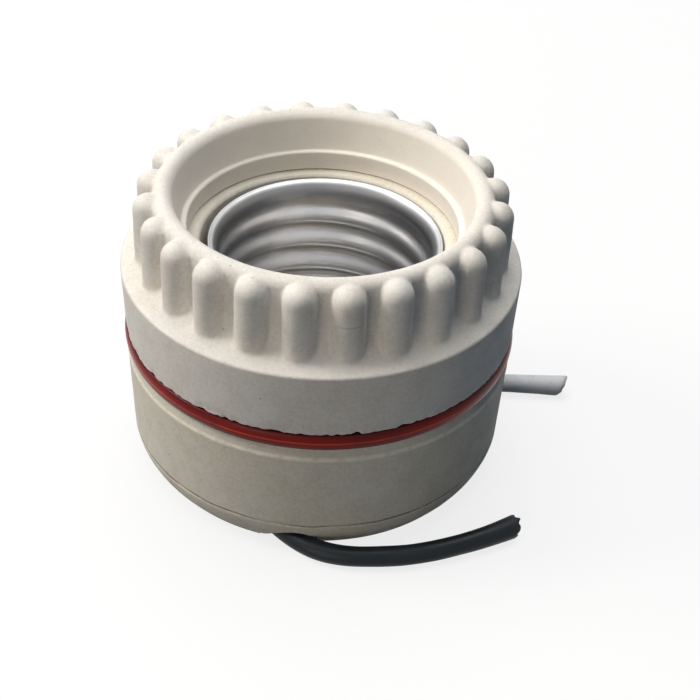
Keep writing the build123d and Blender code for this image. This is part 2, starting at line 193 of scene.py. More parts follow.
class Shade:
    # one material's nodes, made from short calls

    def __init__(self, name, **sockets):
        self.material = bpy.data.materials.new(name)
        self.material.use_nodes = True
        self.tree = self.material.node_tree
        self.surface = self.tree.nodes["Principled BSDF"]
        for socket, value in sockets.items():
            self.surface.inputs[socket.replace("_", " ")].default_value = value
        self.place = self.node("ShaderNodeTexCoord").outputs["Object"]

    def node(self, kind, **settings):
        made = self.tree.nodes.new(kind)
        for setting, value in settings.items():
            setattr(made, setting, value)
        return made

    def link(self, source, target):
        self.tree.links.new(source, target)

    def noise(self, cell, detail=2.0, rough=0.5, stretch=(1, 1, 1), offset=0.0):
        # noise whose features are about cell millimetres wide
        spread = self.node("ShaderNodeMapping")
        spread.inputs["Scale"].default_value = [s / (cell * mm) for s in stretch]
        spread.inputs["Location"].default_value = (offset, offset * 0.7, offset * 1.3)
        self.link(self.place, spread.inputs["Vector"])
        made = self.node("ShaderNodeTexNoise")
        made.inputs["Scale"].default_value = 1.0
        made.inputs["Detail"].default_value = detail
        made.inputs["Roughness"].default_value = rough
        self.link(spread.outputs["Vector"], made.inputs["Vector"])
        return made.outputs["Fac"]

    def ramp(self, source, low, high, dark=0.0, light=1.0):
        made = self.node("ShaderNodeMapRange", interpolation_type="SMOOTHSTEP")
        self.link(source, made.inputs["Value"])
        made.inputs["From Min"].default_value = low
        made.inputs["From Max"].default_value = high
        made.inputs["To Min"].default_value = dark
        made.inputs["To Max"].default_value = light
        return made.outputs["Result"]

    def math(self, operation, a, b=None, c=None):
        made = self.node("ShaderNodeMath", operation=operation)
        for k, value in enumerate((a, b, c)):
            if value is None:
                continue
            if isinstance(value, (int, float)):
                made.inputs[k].default_value = value
            else:
                self.link(value, made.inputs[k])
        return made.outputs["Value"]

    def mix(self, factor, first, second):
        made = self.node("ShaderNodeMix", data_type="RGBA", blend_type="MIX")
        for place, value in (("Factor", factor), (mixFirst, first), (mixSecond, second)):
            socket = made.inputs[place]
            if isinstance(value, (int, float)):
                socket.default_value = value
            elif isinstance(value, tuple):
                socket.default_value = (*value, 1.0)
            else:
                self.link(value, socket)
        return made.outputs[mixResult]

    def axis(self, name):
        made = self.node("ShaderNodeSeparateXYZ")
        self.link(self.place, made.inputs["Vector"])
        return self.math("MULTIPLY", made.outputs[name], 1 / mm)

    def radius(self):
        x, y = self.axis("X"), self.axis("Y")
        return self.math("SQRT", self.math("ADD", self.math("MULTIPLY", x, x), self.math("MULTIPLY", y, y)))

    def bump(self, *layers):
        # each layer is a height source and its depth in millimetres
        below = None
        for source, depth in layers:
            made = self.node("ShaderNodeBump")
            made.inputs["Strength"].default_value = 1.0
            made.inputs["Distance"].default_value = depth * mm
            self.link(source, made.inputs["Height"])
            if below is not None:
                self.link(below, made.inputs["Normal"])
            below = made.outputs["Normal"]
        self.link(below, self.surface.inputs["Normal"])

    def colour(self, source):
        self.link(source, self.surface.inputs["Base Color"])

    def roughness(self, source):
        self.link(source, self.surface.inputs["Roughness"])


def dress(piece, body, slot, material, *replaced):
    piece.data.materials.clear()
    piece.data.materials.append(material)
    if replaced:
        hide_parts(*replaced)
    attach(piece, body)
    return piece


# Camera, fitted to the circles of the photographed holder
camera = {
    "place": (0.15, -150.95, 128.34),
    "right": (0.99911, 0.00649, 0.04162),
    "up": (-0.03700, 0.60755, 0.79342),
    "lens": 77.14,
    "sensor": 36.0,
}


def placeCamera():
    data = bpy.data.cameras.new("camera")
    data.lens = camera["lens"]
    data.sensor_width = camera["sensor"]
    data.clip_start = 0.01
    data.clip_end = 10
    right = Vector(camera["right"]).normalized()
    back = right.cross(Vector(camera["up"])).normalized()
    up = back.cross(right)
    turned = Matrix((right, up, back)).transposed().to_4x4()
    eye = bpy.data.objects.new("camera", data)
    eye.matrix_world = Matrix.Translation(Vector(camera["place"]) * mm) @ turned
    bpy.context.scene.collection.objects.link(eye)
    bpy.context.scene.camera = eye


placeCamera()
print("camera placed")


# Leads, cut off short
leads = {
    "radius": 1.25,
    "columns": 40,
    "splineSteps": 16,
    "black": {"slant": 0.55, "tear": 0.35, "seed": 11, "route": [
        (-1.69, 1.77, 2.80),
        (-7.00, 3.19, 2.80),
        (-12.15, 1.16, 2.60),
        (-15.09, -3.54, 2.20),
        (-14.65, -9.06, 1.85),
        (-7.00, -16.60, 1.35),
        (-2.35, -22.30, 1.30),
        (2.50, -25.00, 1.30),
        (9.30, -24.80, 1.30),
        (13.90, -23.85, 1.30),
        (20.90, -21.10, 1.30),
        (24.90, -18.65, 1.30),
    ]},
    "white": {"slant": 0.75, "tear": 0.12, "seed": 12, "route": [
        (1.70, 9.00, 2.80),
        (9.50, 9.10, 2.80),
        (17.30, 9.25, 1.40),
        (25.50, 9.05, 1.30),
        (34.00, 8.95, 1.30),
    ]},
    "unevenDepth": 0.03,
    "unevenCell": 3.0,
    "endSwell": 0.16,
    "swellLength": 8.0,
    "cutRows": 7,
    "cutBack": 0.15,
    "boreSteps": ((0.88, -0.02), (0.62, 0.04), (0.56, 0.5), (0.56, 1.1)),
    "tableGap": 0.02,
    "strandR": 0.16,
    "strandRing": 0.36,
    "strandSides": 10,
    "strandRun": 1.6,
    "strandBack": 0.12,
    "strandStagger": 0.08,
    "strandTip": 0.06,
    "strandTipShare": 0.6,
}


def routeLine(name, route):
    # the smooth line of a lead, as points in millimetres
    data = bpy.data.curves.new(name, "CURVE")
    data.dimensions = "3D"
    data.resolution_u = leads["splineSteps"]
    spline = data.splines.new("NURBS")
    spline.points.add(len(route) - 1)
    for point, place in zip(spline.points, route):
        point.co = (*(v * mm for v in place), 1.0)
    spline.order_u = 3
    spline.use_endpoint_u = True
    curve = bpy.data.objects.new(name, data)
    bpy.context.scene.collection.objects.link(curve)
    graph = bpy.context.evaluated_depsgraph_get()
    graph.update()
    mesh = bpy.data.meshes.new_from_object(curve.evaluated_get(graph))
    points = np.array([v.co for v in mesh.vertices], float) / mm
    bpy.data.objects.remove(curve)
    bpy.data.meshes.remove(mesh)
    return points


def tubeFrames(path):
    # a tangent, a side and an upward direction at each point of a line that lies flat
    tangent = np.gradient(path, axis=0)
    tangent /= np.linalg.norm(tangent, axis=1, keepdims=True)
    side = np.cross(tangent, (0, 0, 1.0))
    side /= np.linalg.norm(side, axis=1, keepdims=True)
    return tangent, side, np.cross(side, tangent)


def leadTube(name, path, slant, tearDepth, seed):
    # insulation with a hollow cut end
    tangent, side, up = tubeFrames(path)
    turn = np.linspace(0, 2 * math.pi, leads["columns"], endpoint=False)
    cosT, sinT = np.cos(turn), np.sin(turn)
    radius, uneven, cutRows = leads["radius"], leads["unevenDepth"], leads["cutRows"]
    points = path[:, None, :] + radius * (
        side[:, None, :] * cosT[None, :, None] + up[:, None, :] * sinT[None, :, None]
    )
    beforeEnd = np.linalg.norm(path - path[-1], axis=1)
    swell = leads["endSwell"] * np.clip(1 - beforeEnd / leads["swellLength"], 0, 1)
    wobble = smoothNoise(points, leads["unevenCell"], seed) * uneven - uneven + swell[:, None]
    outward = (points - path[:, None, :]) / radius
    points = points + outward * wobble[..., None]
    # the last rows lean to the cut, and the bore goes back inside
    reach = np.linspace(0, 1, cutRows)[:, None] ** 1.5
    rest = np.linalg.norm(np.diff(path[-cutRows:], axis=0), axis=1).sum()
    lean = slant * (sinT - 1) - leads["cutBack"]
    tear = tearDepth * smoothNoise(np.stack([turn * 3, turn * 0, turn * 0], -1), 1.0, seed + 1)
    for k in range(cutRows):
        row = len(path) - cutRows + k
        points[row] += tangent[-1] * ((lean + tear) * reach[k])[:, None] * min(1.0, rest / 2)
    inner = []
    for share, back in leads["boreSteps"]:
        centre = points[-1].mean(axis=0)
        inner.append(centre + (points[-1] - centre) * share - tangent[-1] * back)
    points = np.concatenate([points, np.array(inner)])
    points[..., 2] = np.maximum(points[..., 2], leads["tableGap"])
    return gridMesh(name, points, closed=False)


def strandBundle(name, path, slant):
    # seven strands that stop just inside the cut
    tangent, side, up = tubeFrames(path)
    sides = leads["strandSides"]
    turns = [math.radians(60 * k) for k in range(6)]
    offsets = [(0.0, 0.0)]
    offsets += [(leads["strandRing"] * math.cos(t), leads["strandRing"] * math.sin(t)) for t in turns]
    made = bmesh.new()
    for k, (u, v) in enumerate(offsets):
        middle = path[-1] + side[-1] * u + up[-1] * v
        tip = -leads["strandBack"] - leads["strandStagger"] * (k % 3) - slant * 0.5
        stations = (
            (-leads["strandRun"] - slant, 1.0),
            (tip - leads["strandTip"], 1.0),
            (tip, leads["strandTipShare"]),
        )
        loops = []
        for along, share in stations:
            station, radius = middle + tangent[-1] * along, leads["strandR"] * share
            loops.append([
                made.verts.new((station + radius * (side[-1] * math.cos(a) + up[-1] * math.sin(a))) * mm)
                for a in np.linspace(0, 2 * math.pi, sides, endpoint=False)
            ])
        for low, high in zip(loops, loops[1:]):
            for j in range(sides):
                made.faces.new((low[j], low[(j + 1) % sides], high[(j + 1) % sides], high[j]))
        made.faces.new(loops[-1])
        made.faces.new(loops[0][::-1])
    return meshPiece(name, made)


def leadMaterial(name, colour, wearAndHighlight, roughness, grime, undersideShade):
    shade = Shade(name, Roughness=roughness, Specular_IOR_Level=0.22)
    cloud = shade.noise(4.0, detail=3)
    streak = shade.noise(0.5, detail=4, stretch=(0.35, 0.35, 1.4), offset=3)
    base = shade.mix(shade.ramp(cloud, 0.35, 0.7), colour, wearAndHighlight)
    base = shade.mix(shade.ramp(streak, 0.62, 0.75, 0, 0.55), base, grime)
    # painted shade: darker towards the side that lies on the table
    shade.colour(shade.mix(shade.ramp(shade.axis("Z"), 0.3, 1.7, 0.85, 0), base, undersideShade))
    shade.roughness(shade.ramp(cloud, 0.3, 0.75, roughness - 0.07, roughness + 0.12))
    shade.bump((shade.noise(0.9, detail=3), 0.03), (streak, 0.015))
    return shade.material


def wireMaterial(name, colour, dull):
    shade = Shade(name, Metallic=1.0, Roughness=0.35)
    cloud = shade.noise(0.7, detail=3)
    shade.colour(shade.mix(shade.ramp(cloud, 0.35, 0.7), colour, dull))
    shade.roughness(shade.ramp(cloud, 0.3, 0.7, 0.28, 0.5))
    shade.bump((shade.noise(0.25, detail=2), 0.01))
    return shade.material


# each lead's last colour is its painted shade on the side towards the table
blackPvc = leadMaterial(
    "blackPvc", (0.005, 0.009, 0.012), (0.010, 0.015, 0.019), 0.42,
    (0.030, 0.034, 0.038), (0.003, 0.005, 0.006),
)
whitePvc = leadMaterial(
    "whitePvc", (0.86, 0.87, 0.88), (0.78, 0.79, 0.81), 0.45,
    (0.58, 0.59, 0.61), (0.16, 0.16, 0.15),
)
copper = wireMaterial("copper", (0.72, 0.40, 0.25), (0.42, 0.22, 0.14))


def makeLead(colour, material):
    name, lead = colour + "Lead", leads[colour]
    path = routeLine(name + "Route", lead["route"])
    tube = leadTube(name, path, lead["slant"], lead["tear"], lead["seed"])
    dress(tube, "holder", colour + "_pvc", material, colour + "_lead")
    strands = strandBundle(name + "Strands", path, lead["slant"])
    dress(strands, "holder", "wire", copper)


makeLead("black", blackPvc)
makeLead("white", whitePvc)


# Unglazed porcelain
porcelain = {
    "broadCell": 11.0,
    "middleCell": 2.6,
    "fineCell": 0.42,
    "gritCell": 0.16,
    "speckCell": 0.55,
    "gritColour": (0.46, 0.42, 0.37),
    "speckColour": (0.12, 0.09, 0.08),
}


def tinted(colour, factor):
    return tuple(min(1.0, v * factor) for v in colour)


def porcelainMaterial(name, warm, cool, *marks):
    # bare fired clay, and over it the piece's marks and its painted light and shade, each made by a function
    shade = Shade(name, Roughness=0.82, Specular_IOR_Level=0.35)
    broad = shade.noise(porcelain["broadCell"], detail=3, offset=1)
    middle = shade.noise(porcelain["middleCell"], detail=4, offset=2)
    fine = shade.noise(porcelain["fineCell"], detail=3, rough=0.6, offset=5)
    grit = shade.noise(porcelain["gritCell"], detail=2, offset=9)
    specks = shade.noise(porcelain["speckCell"], detail=1, offset=13)
    colour = shade.mix(shade.ramp(broad, 0.36, 0.66), warm, cool)
    colour = shade.mix(shade.ramp(middle, 0.40, 0.68, 0, 0.35), colour, tinted(warm, 0.86))
    colour = shade.mix(shade.ramp(fine, 0.48, 0.66, 0, 0.6), colour, tinted(cool, 1.07))
    colour = shade.mix(shade.ramp(fine, 0.46, 0.30, 0, 0.4), colour, tinted(warm, 0.80))
    colour = shade.mix(shade.ramp(grit, 0.58, 0.72, 0, 0.34), colour, porcelain["gritColour"])
    # rare dark specks
    colour = shade.mix(shade.ramp(specks, 0.80, 0.82, 0, 0.75), colour, porcelain["speckColour"])
    for mark in marks:
        colour = mark(shade, colour)
    shade.colour(colour)
    shade.roughness(shade.ramp(middle, 0.3, 0.7, 0.74, 0.92))
    shade.bump((broad, 0.02), (middle, 0.022), (fine, 0.030), (grit, 0.026))
    return shade.material


# Thread of the body's neck and the ring's bore
thread = {
    "swing": 0.5,
    "pitch": 4.0,
}


# Clamp ring
ring = {
    "bottomZ": ringLow.z,
    "topZ": ringHigh.z,
    "flangeTopR": 24.2,
    "flangeBottomR": 23.9,
    "flangeHeight": 8.5,
    "edgeRound": 0.4,
    "footRound": 0.25,
    "ledgeRise": 0.9,
    "hubBottomR": 20.6,
    "hubTopR": 20.25,
    "hubBlend": 1.8,
    "rimWidth": 2.6,
    "rimTurn": 172,
    "ribCount": 24,
    "ribR": 1.95,
    "ribCircleR": 20.5,
    "ribStart": 8.8,
    "ribDrop": 0.05,
    "ribFootBlend": 0.45,
    "ribBlend": 0.3,
    "ribBlendReach": 1.2,
    "throatR": 16.1,
    "throatZ": 29.66,
    "throatRound": 0.3,
    "throatLip": 0.12,
    "stepR": 16.7,
    "stepZ": 32.2,
    "stepRound": 0.17,
    "stepSink": 0.05,
    "stepRise": 0.14,
    "boreMeanR": 17.5,
    "boreFootPlay": 0.2,
    "columnsPerRib": 24,
    "columnTrials": 2001,
    "columnZ": 32.0,
    "coreInset": 1.6,
    "coreDrop": 0.4,
    "feetHeight": 1.7,
    "feetReach": (0.5, 6.5),
    "hubReach": (18.5, 24.0),
    "rimReach": (0.0, 5.0),
    "halvings": 40,
    "uneven": ((0.035, 9.0, 3), (0.010, 2.0, 4), (0.006, 0.8, 5)),
    "sunk": 0.045,
    "outerFromR": 19.5,
    "edgeFromR": 22.8,
    "chipZ": 0.2,
    "chipFrom": 0.2,
    "chipBand": 1.1,
    "chipDepth": 0.25,
    "wear": 0.04,
    "notchBand": 0.45,
    "notchRise": 0.22,
    "chipRise": 0.45,
    "chipNoise": (0.8, 6),
    "raggedNoise": (0.45, 7),
    "notchNoise": (0.55, 8),
    "raggedDepth": 0.12,
    "warm": (0.80, 0.75, 0.68),
    "cool": (0.81, 0.78, 0.73),
    "seamX": 3.4,
    "seamZ": 32.7,
    "seamHalf": 1.8,
    "seamColour": (0.30, 0.26, 0.22),
    "mouthLightColour": (0.93, 0.865, 0.77),
}
ledgeZ = ring["bottomZ"] + ring["flangeHeight"]
ledgeFall = ring["ledgeRise"] / (ring["flangeTopR"] - ring["hubBottomR"])
hubFootZ = ledgeZ + ring["ledgeRise"]
rimR = ring["rimWidth"] / 2
rimMidR = ring["hubTopR"] - rimR
rimMidZ = ring["topZ"] - rimR
boreFootR = ring["boreMeanR"] + thread["swing"] + ring["boreFootPlay"]


def smoothLeast(a, b, blend):
    # the lesser of two distances, rounded where they are nearly the same
    h = np.maximum(blend - np.abs(a - b), 0) / blend
    return np.minimum(a, b) - h * h * blend / 4


def hubR(height):
    share = np.clip((height - hubFootZ) / (rimMidZ - hubFootZ), 0, 1)
    return ring["hubBottomR"] + (ring["hubTopR"] - ring["hubBottomR"]) * share


def ribbedDistance(radius, height, offAngle):
    # signed distance to the hub with its rounded rim, the ledge and one domed rib, blended
    rim = np.hypot(radius - rimMidR, height - rimMidZ) - rimR
    hub = np.where(height > rimMidZ, rim, radius - hubR(height))
    domeZ = ring["topZ"] - ring["ribDrop"] - ring["ribR"]
    across = radius * np.sin(offAngle)
    out = radius * np.cos(offAngle) - ring["ribCircleR"]
    over = np.maximum(height - domeZ, 0)
    rib = np.sqrt(across ** 2 + out ** 2 + over ** 2) - ring["ribR"]
    # the ledge runs softly up to the hub, and the ribs stand on it with a tighter corner
    ledge = height - (ledgeZ + (ring["flangeTopR"] - radius) * ledgeFall)
    ledge = ledge / math.hypot(1, ledgeFall)
    ledgedHub = smoothLeast(hub, ledge, ring["hubBlend"])
    ledgedRib = smoothLeast(rib, ledge, ring["ribFootBlend"])
    # hub and rib blend only near each other, so the open ledge keeps its height
    ribBlend = ring["ribBlend"] * np.clip(1 - np.minimum(hub, rib) / ring["ribBlendReach"], 0.01, 1)
    return smoothLeast(ledgedHub, ledgedRib, ribBlend)


def marchOut(startR, startZ, stepR, stepZ, offAngle, reach):
    # where rays from inside leave the ribbed hub
    near = np.full_like(offAngle, reach[0])
    far = np.full_like(offAngle, reach[1])
    for _ in range(ring["halvings"]):
        mid = (near + far) / 2
        inside = ribbedDistance(startR + stepR * mid, startZ + stepZ * mid, offAngle) < 0
        near = np.where(inside, mid, near)
        far = np.where(inside, far, mid)
    return startR + stepR * near, startZ + stepZ * near


def levelRay(height, offAngle):
    return marchOut(0.0, height, 1.0, 0.0, offAngle, ring["hubReach"])[0]


def ribColumns():
    # column angles, closer together on the ribs' steep sides, and each one's angle off its rib
    pitch = 2 * math.pi / ring["ribCount"]
    trials = np.linspace(-pitch / 2, pitch / 2, ring["columnTrials"])
    r = levelRay(ring["columnZ"], trials)
    x, y = r * np.cos(trials), r * np.sin(trials)
    run = np.concatenate([[0], np.cumsum(np.hypot(np.diff(x), np.diff(y)))])
    wanted = np.linspace(0, run[-1], ring["columnsPerRib"], endpoint=False)
    off = np.interp(wanted, run, trials)
    start = math.radians(ring["ribStart"])
    angles = np.concatenate([start + k * pitch + off for k in range(ring["ribCount"])])
    return angles, np.tile(off, ring["ribCount"])


def flangeRows():
    # under the flange from the bore outwards, up its wall and round its top edge
    low, foot, edge = ring["bottomZ"], ring["footRound"], ring["edgeRound"]
    bottomR, topR = ring["flangeBottomR"], ring["flangeTopR"]
    rows = line((boreFootR, low), (bottomR - foot, low), 7)
    rows += arc((bottomR - foot, low + foot), foot, -90, 0, 6)
    tilt = math.degrees(math.atan(ledgeFall))
    wallTop = ledgeZ - edge / math.tan(math.radians(45 + tilt / 2))
    for share in np.array(between(0, 1, 16)) ** 1.5:
        rows.append((bottomR + (topR - bottomR) * share, low + foot + (wallTop - low - foot) * share))
    rows += arc((topR - edge, wallTop), edge, 0, 90 - tilt, 8)
    lean = math.radians(tilt)
    return rows, (topR - edge * (1 - math.sin(lean)), wallTop + edge * math.cos(lean))


def ribbedRows(off, edgeEnd):
    # ledge and the feet of hub and ribs, by rays from inside the flange's top
    coreR, coreZ = ring["hubBottomR"] - ring["coreInset"], ledgeZ - ring["coreDrop"]
    feetTopZ = hubFootZ + ring["feetHeight"]
    lowest = math.atan2(edgeEnd[1] - coreZ, edgeEnd[0] - coreR)
    highest = np.arctan2(feetTopZ - coreZ, levelRay(feetTopZ, off) - coreR)
    rows = []
    for share in between(0, 1, 22):
        a = lowest + (highest - lowest) * share
        rows.append(marchOut(coreR, coreZ, np.cos(a), np.sin(a), off, ring["feetReach"]))
    # hub wall with its ribs
    rows += [(levelRay(height, off), height) for height in between(feetTopZ, rimMidZ, 14)]
    # domed rib tops and the rim's outer half
    for a in np.radians(between(0, 90, 15)):
        rows.append(marchOut(rimMidR, rimMidZ, math.cos(a), math.sin(a), off, ring["rimReach"]))
    return rows


def mouthRows():
    # rim's inner half, cone, step and throat
    turn = math.radians(ring["rimTurn"])
    stepR, stepZ, stepRound = ring["stepR"] - ring["stepSink"], ring["stepZ"], ring["stepRound"]
    throatR, throatRound = ring["throatR"], ring["throatRound"]
    throatZ, lip = ring["throatZ"], ring["throatLip"]
    coneTop = (rimMidR + rimR * math.cos(turn), rimMidZ + rimR * math.sin(turn))
    rows = arc((rimMidR, rimMidZ), rimR, 90, ring["rimTurn"], 10)
    rows += line(coneTop, (stepR + stepRound, stepZ + ring["stepRise"]), 9)
    rows += arc((stepR, stepZ + stepRound - ring["stepSink"]), stepRound, 5, -90, 4)
    rows += line((stepR, stepZ - ring["stepSink"]), (throatR + throatRound, stepZ), 3)
    rows += arc((throatR + throatRound, stepZ - throatRound), throatRound, 90, 180, 5)
    rows += line((throatR, stepZ - throatRound), (throatR, throatZ + lip), 6)
    rows += arc((throatR + lip, throatZ + lip), lip, 180, 270, 3)
    return rows


def boreRows(angles):
    # the throat's end, then the threaded bore down to its chamfer
    low, top, throatR = ring["bottomZ"], ring["throatZ"], ring["throatR"]

    def threaded(height):
        return threadRadius(angles, height, ring["boreMeanR"], **thread)

    rows = [(throatR + (threaded(top) - throatR) * share, top) for share in (0.1, 0.55)]
    for height in np.linspace(top, low, 30, endpoint=False):
        rows.append((np.maximum(threaded(height), boreFootR - (height - low)), height))
    return rows


def firedRing(points):
    # slightly out of true, with a rough and chipped lower edge
    low = ring["bottomZ"]
    radius, rise = np.hypot(points[..., 0], points[..., 1]), points[..., 2] - low
    band = np.clip(1 - np.abs(rise - ring["chipZ"]) / ring["chipBand"], 0, 1) * (radius > ring["outerFromR"])
    chips = np.clip(smoothNoise(points * (1, 1, 0.5), *ring["chipNoise"]) - ring["chipFrom"], 0, 1)
    ragged = (ring["raggedDepth"] * smoothNoise(points, *ring["raggedNoise"])).clip(0, 1)
    shift = firedShift(points, ring["uneven"], ring["sunk"])
    shift -= band * (ring["chipDepth"] * chips + ring["wear"] + ragged)
    nearEdge = np.clip(1 - np.abs(rise) / ring["notchBand"], 0, 1) * (radius > ring["edgeFromR"])
    notches = np.clip(smoothNoise(points * (1, 1, 0.3), *ring["notchNoise"]), 0, 1)
    notches = ring["notchRise"] * notches + ring["chipRise"] * chips
    points = points + outwardNormals(points, True) * shift[..., None]
    points[..., 2] = np.clip(points[..., 2] + nearEdge * notches, low, ring["topZ"])
    return points


def makeClampRing():
    angles, off = ribColumns()
    rows, edgeEnd = flangeRows()
    rows += ribbedRows(off, edgeEnd) + mouthRows() + boreRows(angles)
    return gridMesh("clampRing", firedRing(ringPoints(rows, angles)))


def chippedEdge(shade, colour):
    # the flange's lower edge, paler where it is chipped
    away = shade.math("SUBTRACT", shade.axis("Z"), ring["bottomZ"])
    rough = shade.ramp(shade.noise(0.7, detail=4, offset=51), 0.44, 0.60)
    paler = shade.math("MULTIPLY", shade.ramp(away, 0.15, ring["chipBand"], 1, 0), rough)
    return shade.mix(paler, colour, tinted(ring["warm"], 1.12))


def mouldSeam(shade, colour):
    # a faint seam of the mould across one front rib
    half = ring["seamHalf"]
    wander = shade.math("MULTIPLY_ADD", shade.noise(1.5, detail=2, offset=61), 0.3, -0.15)
    height = shade.math("ADD", shade.axis("Z"), wander)
    offZ = shade.math("ABSOLUTE", shade.math("SUBTRACT", height, ring["seamZ"]))
    offX = shade.math("ABSOLUTE", shade.math("SUBTRACT", shade.axis("X"), ring["seamX"]))
    ends = shade.ramp(offX, half - 0.4, half, 1, 0)
    seam = shade.math("MULTIPLY", shade.ramp(offZ, 0.03, 0.11, 1, 0), ends)
    front = shade.ramp(shade.axis("Y"), -22.0, -21.0, 0.35, 0)
    return shade.mix(shade.math("MULTIPLY", seam, front), colour, ring["seamColour"])


def mouthLight(shade, colour):
    # painted light: the mouth paler towards its rim
    mouthR = ring["hubTopR"] - ring["rimWidth"]
    mouth = shade.math("MULTIPLY", shade.ramp(shade.radius(), mouthR, mouthR + 1.0, 1, 0), 0.75)
    return shade.mix(mouth, colour, ring["mouthLightColour"])


ringPorcelain = porcelainMaterial(
    "ringPorcelain", ring["warm"], ring["cool"], chippedEdge, mouldSeam, mouthLight,
)
clampRing = dress(makeClampRing(), "ring", "porcelain_ring", ringPorcelain, "clamp_ring")
print("clamp ring made", len(clampRing.data.vertices))


# Body
holder = {
    "baseR": 21.3,
    "creaseR": 23.4,
    "creaseZ": 4.4,
    "creaseDepth": 0.14,
    "creaseWidth": 0.22,
    "creaseAbove": 0.35,
    "creaseBelow": 0.4,
    "creaseStep": 0.03,
    "footBulge": 0.35,
    "footEnd": (0.12, 0.28),
    "footRound": 0.32,
    "footInset": 0.2,
    "wallTopR": 23.85,
    "lipR": 23.5,
    "lipHeight": 1.5,
    "lipRound": 0.25,
    "lipDrop": 0.3,
    "lipBorder": 0.35,
    "shoulderZ": gasketLow.z,
    "neckTopZ": bodyHigh.z,
    "pocketR": 14.7,
    "pocketChamfer": 0.3,
    "capR": 0.6,
    "floorTopZ": 8.6,
    "floorUnderZ": 4.2,
    "recessR": 18.6,
    "recessRound": 0.2,
    "neckMeanR": 17.1,
    "threadDrop": 0.05,
    "reliefR": 16.45,
    "reliefHeight": 3.0,
    "neckChamfer": 0.7,
    "neckFaceInset": 0.1,
    "grooveWidth": 3.7,
    "grooveHeight": 2.9,
    "grooveDrop": 1.0,
    "grooveBack": 6.2,
    "grooveReach": 12.5,
    "columns": 480,
    "uneven": ((0.035, 10.0, 23), (0.010, 2.1, 24), (0.006, 0.8, 25)),
    "sunk": 0.05,
    "outerFromR": 19.5,
    "tableFade": (0.1, 0.5),
    "crumble": (0.7, 0.9),
    "crumbleNoise": (3.0, 26),
    "wanderNoise": (6.0, 27),
    "wander": 0.12,
    "borderNoise": (0.7, 28),
    "borderDepth": 0.05,
    "borderRise": 0.03,
    "warm": (0.76, 0.70, 0.58),
    "cool": (0.78, 0.74, 0.65),
    "creaseShadeColour": (0.20, 0.16, 0.13),
}
lipZ = holder["shoulderZ"] - holder["lipHeight"]


def archCutter(name, start, end):
    # the round-topped channel of a lead through the foot
    flat = Vector((end[0] - start[0], end[1] - start[1], 0)).normalized()
    side = Vector((-flat.y, flat.x, 0))
    origin = Vector((start[0], start[1], 0)) - flat * holder["grooveBack"]
    half = holder["grooveWidth"] / 2
    rise = holder["grooveHeight"] - half
    outline = [(-half, -holder["grooveDrop"]), (half, -holder["grooveDrop"]), (half, rise)]
    outline += [(half * math.cos(a), rise + half * math.sin(a)) for a in np.linspace(0, math.pi, 17)[1:]]
    made = bmesh.new()
    loops = []
    for run in (0, holder["grooveBack"] + holder["grooveReach"]):
        centre = origin + flat * run
        loops.append([made.verts.new((centre + side * u + Vector((0, 0, v))) * mm) for u, v in outline])
    near, far = loops
    count = len(outline)
    for j in range(count):
        made.faces.new((near[j], near[(j + 1) % count], far[(j + 1) % count], far[j]))
    made.faces.new(near)
    made.faces.new(far[::-1])
    return meshPiece(name, made)


def neckRows(angles):
    # the pocket's floor and wall, the neck's end and its thread down to the shoulder
    top, chamfer, pocketR = holder["neckTopZ"], holder["pocketChamfer"], holder["pocketR"]
    floorZ, reliefZ = holder["floorTopZ"], holder["shoulderZ"] + holder["reliefHeight"]
    faceR = holder["neckMeanR"] + thread["swing"] - holder["neckChamfer"]
    rows = line((holder["capR"], floorZ), (pocketR, floorZ), 6)
    rows += line((pocketR, floorZ), (pocketR, top - chamfer), 8)
    rows += line((pocketR, top - chamfer), (pocketR + chamfer, top), 3)
    rows += line((pocketR + chamfer, top), (faceR - holder["neckFaceInset"], top), 5)
    for height in np.linspace(top - holder["threadDrop"], reliefZ, 34):
        r = threadRadius(angles, height, holder["neckMeanR"], **thread)
        rows.append((np.minimum(r, faceR + top - height), height))
    rows += line((holder["reliefR"], reliefZ), (holder["reliefR"], holder["shoulderZ"]), 3)
    return rows


def wallRows():
    # shoulder, rounded lip and wall, down past the crease over the foot
    shoulder, lipR, lipRound = holder["shoulderZ"], holder["lipR"], holder["lipRound"]
    creaseR, creaseZ, wallTopR = holder["creaseR"], holder["creaseZ"], holder["wallTopR"]
    creaseTop = (creaseR + holder["creaseStep"], creaseZ + holder["creaseAbove"])
    rows = line((holder["reliefR"], shoulder), (lipR - lipRound, shoulder), 7)
    rows += arc((lipR - lipRound, shoulder - lipRound), lipRound, 90, 15, 4)
    rows += line((lipR, shoulder - holder["lipDrop"]), (wallTopR, lipZ), 9)
    rows += line((wallTopR, lipZ), creaseTop, 40)
    rows += line(creaseTop, (creaseR, creaseZ - holder["creaseBelow"]), 9)
    return rows


def footRows():
    # rounded foot, its underside, the recess and the floor's underside
    baseR, creaseR, creaseZ = holder["baseR"], holder["creaseR"], holder["creaseZ"]
    bulge, inset = holder["footBulge"], holder["footInset"]
    recessR, soft, underZ = holder["recessR"], holder["recessRound"], holder["floorUnderZ"]
    middle = ((baseR + creaseR) / 2 + bulge, creaseZ / 2 - bulge / 2)
    endOut, endZ = holder["footEnd"]
    rows = arcThrough((creaseR, creaseZ - holder["creaseBelow"]), middle, (baseR + endOut, endZ), 14)
    rows += arc((baseR - inset, holder["footRound"]), holder["footRound"], -8, -90, 5)
    rows += line((baseR - inset, 0.0), (recessR + soft, 0.0), 5)
    rows += line((recessR, soft), (recessR, underZ), 4)
    rows += line((recessR, underZ), (holder["capR"], underZ), 6, last=True)
    return rows


